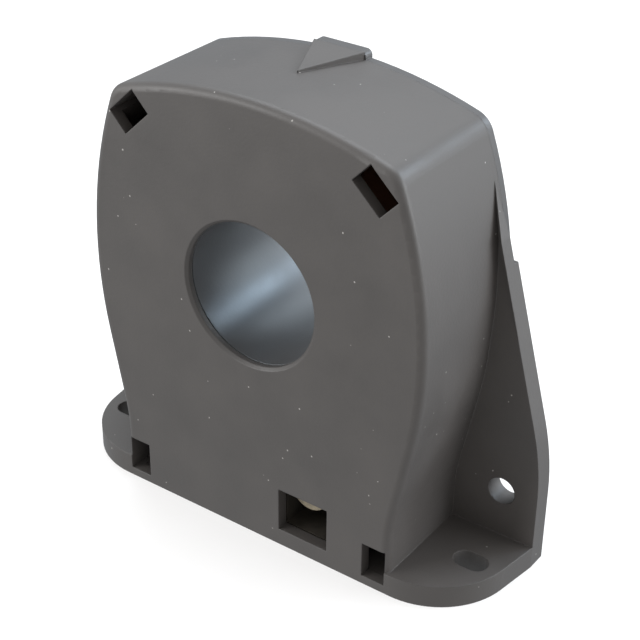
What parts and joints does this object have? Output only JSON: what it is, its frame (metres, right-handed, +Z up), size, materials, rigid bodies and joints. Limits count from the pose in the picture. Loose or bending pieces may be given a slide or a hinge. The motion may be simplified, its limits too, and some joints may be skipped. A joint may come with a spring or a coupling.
{
  "type": "hall effect current sensor",
  "caption": "Arched plastic case with a round aperture through it for a conductor, on a foot with slots and drilled upright wings, with a small connector inlet at the front.",
  "frame": {"origin": "bottom centre of the bounding box: on the foot's underside, midway between front face and cover", "axes": "+Z up from the foot, -Y out of the front face with the connector inlet, +X to the right along the foot seen from the front"},
  "size_m": [0.1044, 0.0308, 0.0972],
  "materials": {
    "case_plastic": "dark grey moulded plastic, fine matte grain, a few light dust specks",
    "cover_plastic": "dark grey moulded plastic, same as the case",
    "core_steel": "wound silicon steel strip",
    "insulator_plastic": "natural off white plastic",
    "winding_enamel": "copper coloured enamelled wire, close wound",
    "cushion_foam": "dark closed cell foam",
    "lead_enamel": "copper coloured enamelled wire",
    "carrier_plastic": "black plastic",
    "chip_epoxy": "black moulded epoxy",
    "board_laminate": "green solder mask on glass epoxy",
    "header_plastic": "black plastic",
    "pin_plating": "tin plated",
    "lock_plastic": "cream plastic",
    "spreader_aluminium": "rolled plate",
    "screw_steel": "zinc plated",
    "capacitor_sleeve": "dark blue sleeve",
    "trimmer_plastic": "blue plastic",
    "resistor_lacquer": "tan lacquer",
    "resistor_ceramic": "dark glazed ceramic chip with metal ends",
    "diode_epoxy": "black epoxy"
  },
  "bodies": {
    "root": {"housing_shell": "case_plastic", "rear_cover": "cover_plastic", "magnetic_core": "core_steel", "core_case": "insulator_plastic", "secondary_winding": "winding_enamel", "front_cushion": "cushion_foam", "rear_cushion": "cushion_foam", "winding_lead_start": "lead_enamel", "winding_lead_end": "lead_enamel", "hall_carrier": "carrier_plastic", "hall_element": "chip_epoxy", "circuit_board": "board_laminate", "connector_header": "header_plastic", "connector_pins": "pin_plating", "header_lock": "lock_plastic", "heat_spreader_left": "spreader_aluminium", "heat_spreader_right": "spreader_aluminium", "power_transistor_left": "chip_epoxy", "power_transistor_right": "chip_epoxy", "spreader_screws": "screw_steel", "filter_capacitor_front": "capacitor_sleeve", "filter_capacitor_rear": "capacitor_sleeve", "amplifier_chip": "chip_epoxy", "zero_trimmer": "trimmer_plastic", "sense_resistor": "resistor_lacquer", "bias_resistor_1": "resistor_ceramic", "bias_resistor_2": "resistor_ceramic", "bias_resistor_3": "resistor_ceramic", "clamp_diode_1": "diode_epoxy", "clamp_diode_2": "diode_epoxy"}
  },
  "joints": []
}
